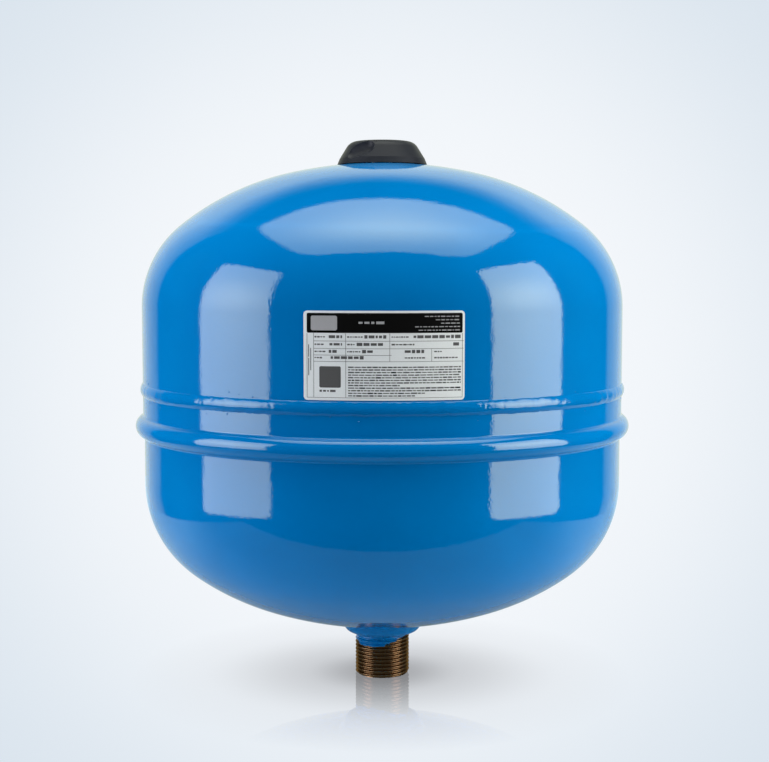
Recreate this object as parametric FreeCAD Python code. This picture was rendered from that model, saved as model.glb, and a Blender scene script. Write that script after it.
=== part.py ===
"""Well pressure tank: a welded steel shell that stands on its threaded water connection.

Millimetres, +Z up. The origin is the centre of the water connection's lower end face.
A rubber diaphragm, clenched in a rolled bead of the lower shell, parts the water below it
from the air above it. The air valve sits on top, under a pull-off cap.
"""
import FreeCAD, Part
import math
import os

# Water connection: a turned nipple with a 1 inch parallel pipe thread
thread_radius = 16.62
thread_length = 25.0
thread_end_chamfer = 1.2
thread_runout = 0.5
neck_radius = 16.2
neck_length = 1.5
port_radius = 12.5
port_step_height = 1.5
collar_radius = 23.9
collar_height = 7.75
collar_edge_radius = 5.0
collar_weld_leg = 3.0
spigot_wall = 1.5

# Seal and grid in the water connection
groove_depth = 1.5
groove_height = 2.0
groove_rise = 2.5
grid_wall = 0.8
grid_setback = 0.5
grid_thickness = 1.5
grid_flange_radius = 19.0
grid_hole_radius = 1.3
grid_ring_count = 2
grid_ring_pitch = 4.4

# Steel shells
shell_radius = 145.5
shell_wall = 1.2
lower_head_height = 87.87
lower_knuckle_radius = 66.16
lower_crown_flattening = 1.0554
skirt_inset = 0.8
skirt_length = 34.98
mouth_length = 20.8
lip_length = 12.1
lip_bend_radius = 0.4
upper_skirt_length = 47.83
upper_head_height = 87.11
upper_knuckle_radius = 63.45
upper_crown_flattening = 1.1816

# Girth weld between the shells
root_gap = 2.0
weld_lap_below = 1.0
weld_lap_above = 2.9
weld_crest = 1.45

# Rolled bead, and the layers that are clenched in it
bead_rise = 4.5
bead_top_fillet = 1.5
bead_bottom_fillet = 1.5
clench_bend_radius = 0.8
clench_wall = 1.2
clench_rim = 2.0
liner_wall = 1.0
liner_rim = 1.5
diaphragm_thickness = 2.0
diaphragm_rim = 2.6
diaphragm_lift = 2.0

# Air valve body, clamped through the top of the dome
shank_radius = 5.0
valve_flange_radius = 9.5
valve_flange_thickness = 2.0
valve_gasket_thickness = 1.0
valve_washer_thickness = 0.8
valve_nut_height = 2.0
valve_nut_flats = 14.0
valve_nut_chamfer = 0.5
valve_thread_radius = 3.85
valve_thread_length = 4.15
valve_thread_chamfer = 0.4
valve_tail_radius = 4.4
valve_tail_margin = 2.4

# Valve core: plug, barrel, seals, pin and spring
core_thread_radius = 2.6
plug_set_in = 1.6
plug_height = 4.5
plug_bore_radius = 0.8
plug_bridge_width = 2.4
plug_bridge_height = 1.8
barrel_radius = 1.95
barrel_wall = 0.55
barrel_head_height = 1.2
barrel_tail_length = 7.6
barrel_floor = 1.0
barrel_waist_depth = 0.35
core_seal_height = 1.8
pin_radius = 0.45
pin_set_in = 0.4
pin_travel = 1.2
pin_collar_height = 0.8
poppet_floor = 0.6
poppet_rim = 0.2
poppet_seal_thickness = 0.85
spring_length = 4.9
spring_wire_radius = 0.18
spring_turns = 5

# Dust cap on the valve's thread
dust_cap_radius = 5.3
dust_cap_top = 0.9
dust_cap_flutes = 12
dust_cap_flute_radius = 0.45
dust_gasket_thickness = 0.7
dust_gasket_inset = 0.3

# Protective cap over the air valve
cap_base_radius = 27.3
cap_skirt_draft = 1.45
cap_skirt_height = 3.6
cap_ledge = 0.2
cap_ledge_height = 0.3
cap_shoulder_radius = 19.4
cap_edge_radius = 7.5
cap_wall = 1.5
cap_headroom = 2.9
cap_finger_wall = 1.2
cap_finger_slot = 5.0
scoop_radius = 6.5
scoop_high_end_azimuth = -24.5
scoop_high_end_height = 9.6
scoop_high_end_depth = 2.6
scoop_low_end_azimuth = -45.0
scoop_low_end_height = 6.2
scoop_low_end_depth = 1.8

# Data label on the upper shell
label_width = 84.9
label_height = 46.5
label_thickness = 0.2
label_corner = 2.0
label_gap_above_weld = 0.7
label_turn = 0.5

# Clearances
fit_gap = 0.1
seat_gap = 0.05
running_gap = 0.2
free_gap = 0.3

AXIS = FreeCAD.Vector(0, 0, 1)
ORIGIN = FreeCAD.Vector(0, 0, 0)


class Outline:
    """An open chain of lines and arcs in the plane of radius and height."""

    def __init__(self, radius, height):
        self.points = [(radius, height)]
        self.centres = []

    def line(self, radius, height):
        return self.arc(radius, height, None)

    def arc(self, radius, height, centre):
        self.points.append((radius, height))
        self.centres.append(centre)
        return self

    def back(self):
        """The same chain, run from its end to its start."""
        turned = Outline(*self.points[-1])
        turned.points = self.points[::-1]
        turned.centres = self.centres[::-1]
        return turned

    def then(self, other):
        """This chain, a straight step to the other chain's start, and the other chain."""
        joined = Outline(*self.points[0])
        joined.points = self.points + other.points
        joined.centres = self.centres + [None] + other.centres
        return joined

    def closed_edges(self):
        points = self.points + self.points[:1]
        centres = self.centres + [None]
        edges = []
        for start, end, centre in zip(points, points[1:], centres):
            if math.dist(start, end) < 1e-6:
                continue
            first, last = place(start), place(end)
            if centre is None:
                edges.append(Part.makeLine(first, last))
            else:
                edges.append(Part.Arc(first, place(arc_middle(start, end, centre)), last).toShape())
        return edges


def place(point):
    return FreeCAD.Vector(point[0], 0, point[1])


def arc_middle(start, end, centre):
    """The middle of the shorter arc from start to end about centre."""
    across = (start[0] + end[0] - 2 * centre[0], start[1] + end[1] - 2 * centre[1])
    reach = math.dist(start, centre) / math.hypot(*across)
    return centre[0] + across[0] * reach, centre[1] + across[1] * reach


def revolve(outline):
    """The solid that a closed section sweeps about the tank's axis."""
    face = Part.Face(Part.Wire(outline.closed_edges()))
    solid = face.revolve(ORIGIN, AXIS, 360)
    if solid.Volume < 0:
        solid.reverse()
    return solid


def wall(outer, inner):
    """The solid of revolution between two chains that start and end side by side."""
    return revolve(outer.then(inner.back()))


def tube(inner, outer, low, high):
    return revolve(Outline(inner, low).line(outer, low).line(outer, high).line(inner, high))


def rounded(corners, radii):
    """A chain through the corners, each inner one rounded by its own radius."""
    chain = Outline(*corners[0])
    for before, corner, after, radius in zip(corners, corners[1:], corners[2:], radii):
        if radius <= 0:
            chain.line(*corner)
            continue
        back = unit(corner, before)
        ahead = unit(corner, after)
        half = math.acos(back[0] * ahead[0] + back[1] * ahead[1]) / 2
        setback = radius / math.tan(half)
        middle = (back[0] + ahead[0], back[1] + ahead[1])
        reach = radius / math.sin(half) / math.hypot(*middle)
        centre = (corner[0] + middle[0] * reach, corner[1] + middle[1] * reach)
        chain.line(corner[0] + back[0] * setback, corner[1] + back[1] * setback)
        chain.arc(corner[0] + ahead[0] * setback, corner[1] + ahead[1] * setback, centre)
    return chain.line(*corners[-1])


def unit(start, end):
    length = math.dist(start, end)
    return (end[0] - start[0]) / length, (end[1] - start[1]) / length


def inside_of(corners, distance):
    """The corners of a chain that runs beside the given one, to the left of its way."""
    sides = []
    for start, end in zip(corners, corners[1:]):
        along = unit(start, end)
        shift = (-along[1] * distance, along[0] * distance)
        sides.append(((start[0] + shift[0], start[1] + shift[1]), along))
    first, last = sides[0], sides[-1]
    moved = [first[0]]
    for (one, along), (two, other) in zip(sides, sides[1:]):
        cross = along[0] * other[1] - along[1] * other[0]
        step = ((two[0] - one[0]) * other[1] - (two[1] - one[1]) * other[0]) / cross
        moved.append((one[0] + along[0] * step, one[1] + along[1] * step))
    run = math.dist(corners[-2], corners[-1])
    moved.append((last[0][0] + last[1][0] * run, last[0][1] + last[1][1] * run))
    return moved


def rounded_rod(radius, start, end):
    """A rod about the line from start to end, with hemispherical ends."""
    along = end - start
    chain = Outline(0.0, -radius).arc(radius, 0.0, (0.0, 0.0)).line(radius, along.Length)
    rod = revolve(chain.arc(0.0, along.Length + radius, (0.0, along.Length)))
    rod.Placement = FreeCAD.Placement(start, FreeCAD.Rotation(AXIS, along))
    return rod


class Head:
    """A dished head of three tangent arcs: crown, shoulder and knuckle.

    A wall that lies inside it, by whatever offset, is made of arcs about the same centres.
    The crown is flatter than that of a plain two-arc head by the factor flattening, and the
    shoulder's radius is halfway between those of its neighbours.
    """

    def __init__(self, radius, height, knuckle, flattening, base, up):
        plain_crown = ((radius - knuckle) ** 2 + height ** 2 - knuckle ** 2) / (2 * (height - knuckle))
        crown = flattening * plain_crown
        self.radius, self.base, self.up = radius, base, up
        self.crown, self.knuckle = crown, knuckle
        self.shoulder = (crown + knuckle) / 2
        drop = height - crown
        span = math.hypot(radius - knuckle, drop)
        lean = math.atan2(radius - knuckle, -drop)
        bend = math.acos(span / (crown - knuckle))
        self.crown_angle = lean - bend
        self.shoulder_angle = lean + bend
        arm = (crown - knuckle) / 2
        self.crown_centre = (0.0, self.level(drop))
        self.shoulder_centre = (
            arm * math.sin(self.crown_angle),
            self.level(drop + arm * math.cos(self.crown_angle)),
        )
        self.knuckle_centre = (radius - knuckle, base)

    def level(self, height):
        return self.base + self.up * height

    def crown_level(self, radius, offset=0.0):
        """Height of the crown at a radius from the axis, on the wall that lies inside by offset."""
        return self.crown_centre[1] + self.up * math.sqrt((self.crown - offset) ** 2 - radius ** 2)

    def outline(self, start, offset=0.0, lift=0.0):
        """The arcs from the start radius out to the rim, on the wall that lies inside by offset."""
        def shifted(point):
            return point[0], point[1] + lift

        def at(centre, length, angle):
            across = length * math.sin(angle)
            along = length * math.cos(angle)
            return shifted((centre[0] + across, centre[1] + self.up * along))

        chain = Outline(start, self.crown_level(start, offset) + lift)
        end = at(self.crown_centre, self.crown - offset, self.crown_angle)
        chain.arc(*end, shifted(self.crown_centre))
        end = at(self.shoulder_centre, self.shoulder - offset, self.shoulder_angle)
        chain.arc(*end, shifted(self.shoulder_centre))
        return chain.arc(self.radius - offset, self.base + lift, shifted(self.knuckle_centre))


# Heights, from the end of the water connection to the top of the dome
neck_top = thread_length + neck_length
lower_apex = neck_top + collar_height
lower_head_base = lower_apex + lower_head_height
bead_level = lower_head_base + skirt_length
lip_shoulder = bead_level + mouth_length
upper_edge = lip_shoulder + root_gap
upper_head_base = upper_edge + upper_skirt_length
upper_apex = upper_head_base + upper_head_height

# Radii around the water port, from the grid's sleeve out to the spigot
grid_bore_radius = port_radius + grid_setback
grid_sleeve_radius = grid_bore_radius + grid_wall
liner_neck_bore = grid_sleeve_radius + fit_gap
liner_neck_radius = liner_neck_bore + liner_wall
counterbore_radius = liner_neck_radius + fit_gap
groove_radius = counterbore_radius + groove_depth
spigot_radius = groove_radius + spigot_wall
counterbore_floor = neck_top + port_step_height
sleeve_end = counterbore_floor + free_gap
groove_level = counterbore_floor + groove_rise + groove_height / 2

# Layers of the lower half, as distances inside the shell's outer face
liner_offset = shell_wall + fit_gap
liner_inner = liner_offset + liner_wall
diaphragm_offset = liner_inner + fit_gap
diaphragm_inner = diaphragm_offset + diaphragm_thickness
clench_offset = diaphragm_inner + fit_gap
clench_inner = clench_offset + clench_wall

# Rolled bead: one convex arc, blended into the wall above and below it
skirt_radius = shell_radius - skirt_inset
bead_arc = clench_bend_radius + clench_inner
bead_centre = (shell_radius + bead_rise - bead_arc, bead_level)


def blend_centre(wall_radius, fillet, side):
    """Centre of the fillet between the bead and a straight wall, above (1) or below (-1)."""
    radius = wall_radius + fillet
    rise = math.sqrt((bead_arc + fillet) ** 2 - (radius - bead_centre[0]) ** 2)
    return radius, bead_centre[1] + side * rise


bead_top_centre = blend_centre(shell_radius, bead_top_fillet, 1)
bead_bottom_centre = blend_centre(skirt_radius, bead_bottom_fillet, -1)

lower_head = Head(
    skirt_radius, lower_head_height, lower_knuckle_radius, lower_crown_flattening, lower_head_base, -1
)
upper_head = Head(
    shell_radius, upper_head_height, upper_knuckle_radius, upper_crown_flattening, upper_head_base, 1
)


def bead_outline(offset, low, high):
    """The wall that lies inside the lower shell by offset, from below the bead to above it."""
    def between(fillet_centre):
        share = (bead_arc - offset) / math.dist(bead_centre, fillet_centre)
        return (
            bead_centre[0] + (fillet_centre[0] - bead_centre[0]) * share,
            bead_centre[1] + (fillet_centre[1] - bead_centre[1]) * share,
        )

    chain = Outline(skirt_radius - offset, low)
    chain.line(skirt_radius - offset, bead_bottom_centre[1])
    chain.arc(*between(bead_bottom_centre), bead_bottom_centre)
    chain.arc(*between(bead_top_centre), bead_centre)
    chain.arc(shell_radius - offset, bead_top_centre[1], bead_top_centre)
    return chain.line(shell_radius - offset, high)


# Lip of the lower shell: an S bend that steps in by the upper shell's wall
lip_step = shell_wall + fit_gap
lip_outer_bend = shell_wall + lip_bend_radius
lip_reach = lip_outer_bend + lip_bend_radius
lip_angle = math.acos(1 - lip_step / lip_reach)
lip_start = lip_shoulder - lip_reach * math.sin(lip_angle)
lip_convex_centre = (shell_radius - lip_outer_bend, lip_start)
lip_concave_centre = (
    lip_convex_centre[0] + lip_reach * math.cos(lip_angle),
    lip_shoulder,
)


def lip_bend(chain, offset):
    """Adds the S bend to a chain that runs up the lower shell's wall."""
    radius = lip_outer_bend - offset
    middle = (
        lip_convex_centre[0] + radius * math.cos(lip_angle),
        lip_convex_centre[1] + radius * math.sin(lip_angle),
    )
    chain.line(shell_radius - offset, lip_start)
    chain.arc(*middle, lip_convex_centre)
    return chain.arc(shell_radius - lip_step - offset, lip_shoulder, lip_concave_centre)


weld_toe_low = lip_start - weld_lap_below
weld_toe_high = upper_edge + weld_lap_above
lip_top = lip_shoulder + lip_length


def make_lower_shell():
    def face(offset):
        chain = lower_head.outline(spigot_radius + fit_gap, offset)
        chain = chain.then(bead_outline(offset, lower_head_base, lip_start))
        return lip_bend(chain, offset).line(shell_radius - lip_step - offset, lip_top)

    return wall(face(0.0), face(shell_wall))


def make_upper_shell():
    def face(offset):
        chain = upper_head.outline(shank_radius + running_gap, offset)
        return chain.line(shell_radius - offset, upper_edge)

    return wall(face(0.0), face(shell_wall))


def make_girth_weld():
    half_span = (weld_toe_high - weld_toe_low) / 2
    crest_radius = (half_span ** 2 + weld_crest ** 2) / (2 * weld_crest)
    middle = (shell_radius + weld_crest - crest_radius, weld_toe_low + half_span)
    chain = lip_bend(Outline(shell_radius, weld_toe_low), 0.0)
    chain.line(shell_radius - lip_step, upper_edge)
    chain.line(shell_radius, upper_edge)
    chain.line(shell_radius, weld_toe_high)
    return revolve(chain.arc(shell_radius, weld_toe_low, middle))


def make_water_liner():
    def face(radius, offset):
        chain = Outline(radius, sleeve_end).then(lower_head.outline(radius, offset))
        return chain.then(bead_outline(offset, lower_head_base, bead_top_centre[1] + liner_rim))

    return wall(face(liner_neck_radius, liner_offset), face(liner_neck_bore, liner_inner))


def make_diaphragm():
    def face(offset):
        chain = lower_head.outline(0.0, offset, diaphragm_lift)
        rim = bead_top_centre[1] + diaphragm_rim
        return chain.then(bead_outline(offset, lower_head_base + diaphragm_lift, rim))

    return wall(face(diaphragm_offset), face(diaphragm_inner))


def make_clench_ring():
    low = bead_bottom_centre[1] - clench_rim
    high = bead_top_centre[1] + clench_rim
    return wall(bead_outline(clench_offset, low, high), bead_outline(clench_inner, low, high))


def make_water_nipple():
    seat = lower_head.crown_level(collar_radius)
    edge = min(
        collar_edge_radius,
        collar_radius - neck_radius - free_gap,
        seat - neck_top - collar_weld_leg,
    )
    spigot_top = lower_head.crown_level(counterbore_radius, shell_wall)
    groove_low = groove_level - groove_height / 2
    groove_high = groove_level + groove_height / 2
    chain = Outline(port_radius, 0.0)
    chain.line(thread_radius - thread_end_chamfer, 0.0)
    chain.line(thread_radius, thread_end_chamfer)
    chain.line(thread_radius, thread_length)
    chain.line(neck_radius, thread_length + thread_runout)
    chain.line(neck_radius, neck_top)
    chain.line(collar_radius - edge, neck_top)
    chain.arc(collar_radius, neck_top + edge, (collar_radius - edge, neck_top + edge))
    chain.line(collar_radius, seat)
    chain.arc(spigot_radius, lower_head.crown_level(spigot_radius), lower_head.crown_centre)
    chain.line(spigot_radius, spigot_top)
    chain.line(counterbore_radius, spigot_top)
    chain.line(counterbore_radius, groove_high)
    chain.line(groove_radius, groove_high)
    chain.line(groove_radius, groove_low)
    chain.line(counterbore_radius, groove_low)
    chain.line(counterbore_radius, counterbore_floor)
    return revolve(chain.line(port_radius, counterbore_floor))


def make_nipple_weld():
    seat = lower_head.crown_level(collar_radius)
    toe_radius = collar_radius + collar_weld_leg
    chain = Outline(collar_radius, seat - collar_weld_leg)
    chain.line(toe_radius, lower_head.crown_level(toe_radius))
    return revolve(chain.arc(collar_radius, seat, lower_head.crown_centre))


def make_liner_gasket():
    section = (groove_depth + fit_gap) / 2 - seat_gap
    ring = liner_neck_radius + seat_gap + section
    return Part.makeTorus(ring, section, FreeCAD.Vector(0, 0, groove_level), AXIS)


def make_inlet_grid():
    """Domed plate with holes, on a sleeve: it lets water past and holds the rubber back."""
    under = liner_inner + fit_gap
    over = under + grid_thickness
    centre = lower_head.crown_centre
    chain = Outline(grid_bore_radius, sleeve_end).line(grid_sleeve_radius, sleeve_end)
    chain.line(grid_sleeve_radius, lower_head.crown_level(grid_sleeve_radius, under))
    chain.arc(grid_flange_radius, lower_head.crown_level(grid_flange_radius, under), centre)
    chain.line(grid_flange_radius, lower_head.crown_level(grid_flange_radius, over))
    chain.arc(0.0, lower_head.crown_level(0.0, over), centre)
    chain.line(0.0, lower_head.crown_level(0.0, under))
    chain.arc(grid_bore_radius, lower_head.crown_level(grid_bore_radius, under), centre)
    plate = revolve(chain)
    drills = []
    for ring in range(grid_ring_count + 1):
        reach = grid_ring_pitch * ring
        count = max(6 * ring, 1)
        for step in range(count):
            turn = 2 * math.pi * step / count
            foot = FreeCAD.Vector(reach * math.cos(turn), reach * math.sin(turn), sleeve_end)
            drills.append(Part.makeCylinder(grid_hole_radius, lower_head_height / 2, foot, AXIS))
    return plate.cut(drills)


# Heights and radii of the air valve, from the dome outwards and inwards
valve_hole_radius = shank_radius + running_gap
washer_bottom = upper_head.crown_level(valve_hole_radius) + seat_gap
nut_bottom = washer_bottom + valve_washer_thickness
nut_top = nut_bottom + valve_nut_height
stem_top = nut_top + valve_thread_length
gasket_top = upper_head.crown_level(valve_flange_radius, shell_wall) - seat_gap
flange_top = gasket_top - valve_gasket_thickness
nut_corner_radius = valve_nut_flats / math.sqrt(3)

plug_top = stem_top - plug_set_in
plug_bottom = plug_top - plug_height
barrel_top = plug_bottom - seat_gap
cone_top = barrel_top - barrel_head_height
cone_bottom = cone_top - core_seal_height
barrel_bottom = cone_bottom - barrel_tail_length
spring_bottom = barrel_bottom + barrel_floor + seat_gap
spring_top = spring_bottom + spring_length
collar_bottom = spring_top + seat_gap
poppet_top = barrel_bottom - seat_gap
poppet_bottom = poppet_top - poppet_seal_thickness - seat_gap - poppet_floor
stem_bottom = poppet_bottom - pin_travel - valve_tail_margin

core_bore_radius = core_thread_radius + seat_gap
tail_bore_radius = barrel_radius + running_gap
barrel_bore_radius = barrel_radius - barrel_wall
barrel_waist_radius = barrel_radius - barrel_waist_depth
pin_collar_radius = barrel_bore_radius - running_gap
poppet_radius = tail_bore_radius - free_gap


def cone_radius(level):
    """Radius of the valve's tapered seat at a height."""
    share = (level - cone_bottom) / (cone_top - cone_bottom)
    return tail_bore_radius + (core_bore_radius - tail_bore_radius) * share


def make_valve_stem():
    flange_bottom = flange_top - valve_flange_thickness
    chain = Outline(tail_bore_radius, stem_bottom)
    chain.line(valve_tail_radius, stem_bottom)
    chain.line(valve_tail_radius, flange_bottom)
    chain.line(valve_flange_radius, flange_bottom)
    chain.line(valve_flange_radius, flange_top)
    chain.line(shank_radius, flange_top)
    chain.line(shank_radius, nut_top)
    chain.line(valve_thread_radius, nut_top)
    chain.line(valve_thread_radius, stem_top - valve_thread_chamfer)
    chain.line(valve_thread_radius - valve_thread_chamfer, stem_top)
    chain.line(core_bore_radius, stem_top)
    chain.line(core_bore_radius, cone_top)
    return revolve(chain.line(tail_bore_radius, cone_bottom))


def make_valve_gasket():
    return tube(shank_radius + fit_gap, valve_flange_radius, flange_top, gasket_top)


def make_valve_washer():
    return tube(valve_hole_radius, valve_flange_radius, washer_bottom, nut_bottom)


def make_valve_nut():
    corners = []
    for step in range(7):
        turn = math.radians(60 * step)
        across = (nut_corner_radius * math.cos(turn), nut_corner_radius * math.sin(turn))
        corners.append(FreeCAD.Vector(*across, nut_bottom))
    prism = Part.Face(Part.makePolygon(corners)).extrude(AXIS * valve_nut_height)
    chain = Outline(shank_radius + seat_gap, nut_bottom)
    chain.line(nut_corner_radius, nut_bottom)
    chain.line(nut_corner_radius, nut_top - valve_nut_chamfer)
    chain.line(valve_nut_flats / 2, nut_top)
    return prism.common(revolve(chain.line(shank_radius + seat_gap, nut_top)))


def make_core_plug():
    """Threaded plug whose upper end is cut to a bridge, for the key that screws it in."""
    plug = tube(plug_bore_radius, core_thread_radius, plug_bottom, plug_top)
    width = 2 * core_thread_radius
    for side in (-1, 1):
        foot = FreeCAD.Vector(
            side * (plug_bridge_width + width) / 2 - width / 2,
            -width / 2,
            plug_top - plug_bridge_height,
        )
        plug = plug.cut(Part.makeBox(width, width, plug_bridge_height, foot))
    return plug


def make_core_barrel():
    head_radius = core_bore_radius - running_gap
    hole_radius = pin_radius + running_gap
    chain = Outline(hole_radius, barrel_bottom).line(barrel_radius, barrel_bottom)
    chain.line(barrel_radius, cone_bottom).line(barrel_waist_radius, cone_bottom)
    chain.line(barrel_waist_radius, cone_top).line(head_radius, cone_top)
    chain.line(head_radius, barrel_top).line(barrel_bore_radius, barrel_top)
    chain.line(barrel_bore_radius, barrel_bottom + barrel_floor)
    return revolve(chain.line(hole_radius, barrel_bottom + barrel_floor))


def make_core_seal():
    low = cone_bottom + seat_gap
    high = cone_top - seat_gap
    inner = barrel_waist_radius + seat_gap
    chain = Outline(inner, low).line(cone_radius(low) - seat_gap, low)
    return revolve(chain.line(cone_radius(high) - seat_gap, high).line(inner, high))


def make_core_pin():
    """Pin with the collar that the spring lifts and, at its foot, the cup of the poppet."""
    cup_floor = poppet_bottom + poppet_floor
    chain = Outline(0.0, poppet_bottom).line(poppet_radius, poppet_bottom)
    chain.line(poppet_radius, poppet_top - seat_gap)
    chain.line(poppet_radius - poppet_rim, poppet_top - seat_gap)
    chain.line(poppet_radius - poppet_rim, cup_floor).line(pin_radius, cup_floor)
    chain.line(pin_radius, collar_bottom).line(pin_collar_radius, collar_bottom)
    chain.line(pin_collar_radius, collar_bottom + pin_collar_height)
    chain.line(pin_radius, collar_bottom + pin_collar_height)
    chain.line(pin_radius, stem_top - pin_set_in)
    return revolve(chain.line(0.0, stem_top - pin_set_in))


def make_poppet_seal():
    outer = poppet_radius - poppet_rim - seat_gap
    return tube(pin_radius + seat_gap, outer, poppet_top - poppet_seal_thickness, poppet_top)


def make_core_spring():
    """Coil around the pin, halfway to the barrel's bore, of eight-sided wire that meshes exactly."""
    coil_radius = (pin_radius + barrel_bore_radius) / 2
    rise = spring_length - 2 * spring_wire_radius
    path = Part.makeHelix(rise / spring_turns, rise, coil_radius)
    corners = []
    for step in range(9):
        turn = math.radians(45 * step)
        across = coil_radius + spring_wire_radius * math.cos(turn)
        corners.append(place((across, spring_wire_radius * math.sin(turn))))
    section = Part.makePolygon(corners)
    coil = Part.Wire(path).makePipeShell([section], True, True)
    coil.translate(FreeCAD.Vector(0, 0, spring_bottom + spring_wire_radius))
    return coil


dust_cap_bottom = nut_top + free_gap
dust_gasket_bottom = stem_top + seat_gap
dust_cap_ceiling = dust_gasket_bottom + dust_gasket_thickness + seat_gap
dust_cap_height = dust_cap_ceiling + dust_cap_top
dust_cap_bore = valve_thread_radius + fit_gap


def make_dust_cap():
    chain = Outline(dust_cap_bore, dust_cap_bottom).line(dust_cap_radius, dust_cap_bottom)
    chain.line(dust_cap_radius, dust_cap_height - dust_cap_top / 2)
    chain.line(dust_cap_radius - dust_cap_top / 2, dust_cap_height).line(0.0, dust_cap_height)
    cap = revolve(chain.line(0.0, dust_cap_ceiling).line(dust_cap_bore, dust_cap_ceiling))
    flute_length = dust_cap_height - dust_cap_bottom
    flutes = []
    for step in range(dust_cap_flutes):
        turn = 2 * math.pi * step / dust_cap_flutes
        foot = FreeCAD.Vector(
            dust_cap_radius * math.cos(turn), dust_cap_radius * math.sin(turn), dust_cap_bottom
        )
        flutes.append(Part.makeCylinder(dust_cap_flute_radius, flute_length, foot, AXIS))
    return cap.cut(flutes)


def make_dust_cap_gasket():
    return Part.makeCylinder(
        dust_cap_bore - dust_gasket_inset,
        dust_gasket_thickness,
        FreeCAD.Vector(0, 0, dust_gasket_bottom),
        AXIS,
    )


cap_ceiling = dust_cap_height + cap_headroom
cap_top = cap_ceiling + cap_wall
cap_base = upper_head.crown_level(cap_base_radius - cap_wall) + free_gap
cap_ledge_level = cap_base + cap_skirt_height
cap_cone_foot = (
    cap_base_radius - cap_skirt_draft - cap_ledge,
    cap_ledge_level + cap_ledge_height,
)
cap_corners = [
    (cap_base_radius, cap_base),
    (cap_base_radius - cap_skirt_draft, cap_ledge_level),
    cap_cone_foot,
    (cap_shoulder_radius, cap_top),
    (0.0, cap_top),
]


def scoop_centre(azimuth, height, depth):
    """Centre of the scoop where it goes to a depth in the cap's side, at a height above its base."""
    along = unit(cap_cone_foot, (cap_shoulder_radius, cap_top))
    level = cap_base + height
    surface = cap_cone_foot[0] + (level - cap_cone_foot[1]) * along[0] / along[1]
    stand_off = scoop_radius - depth
    reach = surface + along[1] * stand_off
    turn = math.radians(azimuth)
    return FreeCAD.Vector(reach * math.sin(turn), -reach * math.cos(turn), level - along[0] * stand_off)


def make_protective_cap():
    """Moulded cap of one wall thickness, with a finger scoop and four fingers that grip the nut."""
    def edge_radii(radius):
        return [0.0, 0.0, radius]

    outside = rounded(cap_corners, edge_radii(cap_edge_radius))
    inside = rounded(inside_of(cap_corners, cap_wall), edge_radii(cap_edge_radius - cap_wall))
    body = revolve(outside.line(0.0, cap_base))
    inside.line(0.0, cap_base - cap_skirt_height)
    hollow = revolve(inside.line(cap_base_radius - cap_wall, cap_base - cap_skirt_height))

    high_end = scoop_centre(scoop_high_end_azimuth, scoop_high_end_height, scoop_high_end_depth)
    low_end = scoop_centre(scoop_low_end_azimuth, scoop_low_end_height, scoop_low_end_depth)
    scoop = rounded_rod(scoop_radius, high_end, low_end)
    hollow = hollow.cut(rounded_rod(scoop_radius + cap_wall, high_end, low_end))

    grip_radius = nut_corner_radius + free_gap
    finger_end = nut_bottom + free_gap
    fingers = tube(grip_radius, grip_radius + cap_finger_wall, finger_end, cap_ceiling + cap_wall / 2)
    span = 4 * (grip_radius + cap_finger_wall)
    slot_height = cap_ceiling - finger_end
    for long_side, short_side in ((span, cap_finger_slot), (cap_finger_slot, span)):
        foot = FreeCAD.Vector(-long_side / 2, -short_side / 2, finger_end)
        fingers = fingers.cut(Part.makeBox(long_side, short_side, slot_height, foot))
    return body.cut(scoop).cut(hollow).fuse(fingers).removeSplitter()


def make_data_label():
    """Rounded rectangle of film, wrapped on the front of the upper shell."""
    low = weld_toe_high + label_gap_above_weld
    inner = shell_radius + seat_gap / 2
    half = inner * math.sin(label_width / shell_radius / 2)
    band = tube(inner, inner + label_thickness, low, low + label_height)
    corner = FreeCAD.Vector(-half, -2 * shell_radius, low)
    block = Part.makeBox(2 * half, 2 * shell_radius, label_height, corner)
    upright = [
        edge for edge in block.Edges
        if abs(edge.tangentAt(edge.FirstParameter).y) > 0.9
    ]
    block = block.makeFillet(label_corner, upright)
    label = band.common(block)
    label.rotate(ORIGIN, AXIS, label_turn)
    return label


NODES = {
    "lower_shell": make_lower_shell,
    "upper_shell": make_upper_shell,
    "girth_weld": make_girth_weld,
    "water_liner": make_water_liner,
    "diaphragm": make_diaphragm,
    "clench_ring": make_clench_ring,
    "water_nipple": make_water_nipple,
    "nipple_weld": make_nipple_weld,
    "liner_gasket": make_liner_gasket,
    "inlet_grid": make_inlet_grid,
    "valve_stem": make_valve_stem,
    "valve_gasket": make_valve_gasket,
    "valve_washer": make_valve_washer,
    "valve_nut": make_valve_nut,
    "core_plug": make_core_plug,
    "core_barrel": make_core_barrel,
    "core_seal": make_core_seal,
    "core_pin": make_core_pin,
    "poppet_seal": make_poppet_seal,
    "core_spring": make_core_spring,
    "dust_cap": make_dust_cap,
    "dust_cap_gasket": make_dust_cap_gasket,
    "protective_cap": make_protective_cap,
    "data_label": make_data_label,
}


def only_solid(shape):
    """The one solid of a shape, without the compound that a cut may leave around it."""
    solids = shape.Solids
    if len(solids) != 1:
        raise ValueError(f"{len(solids)} solids where one was meant")
    return solids[0]


os.makedirs("parts", exist_ok=True)
for name, make in NODES.items():
    solid = only_solid(make())
    if not solid.isValid() or solid.Volume <= 0:
        raise ValueError(f"{name} is not a sound solid")
    solid.exportStep(f"parts/{name}.step")
    box = solid.BoundBox
    print(
        f"{name}: {solid.Volume:.1f} mm3, radius to {max(box.XMax, box.YMax):.2f}, "
        f"from {box.ZMin:.2f} to {box.ZMax:.2f}"
    )
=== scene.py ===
"""Looks of a small well pressure tank in blue powder coat, standing on its water connection.

Metres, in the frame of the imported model: +Z up, the label faces -Y.
"""
import bpy
import math
import random
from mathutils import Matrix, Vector, noise


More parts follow.
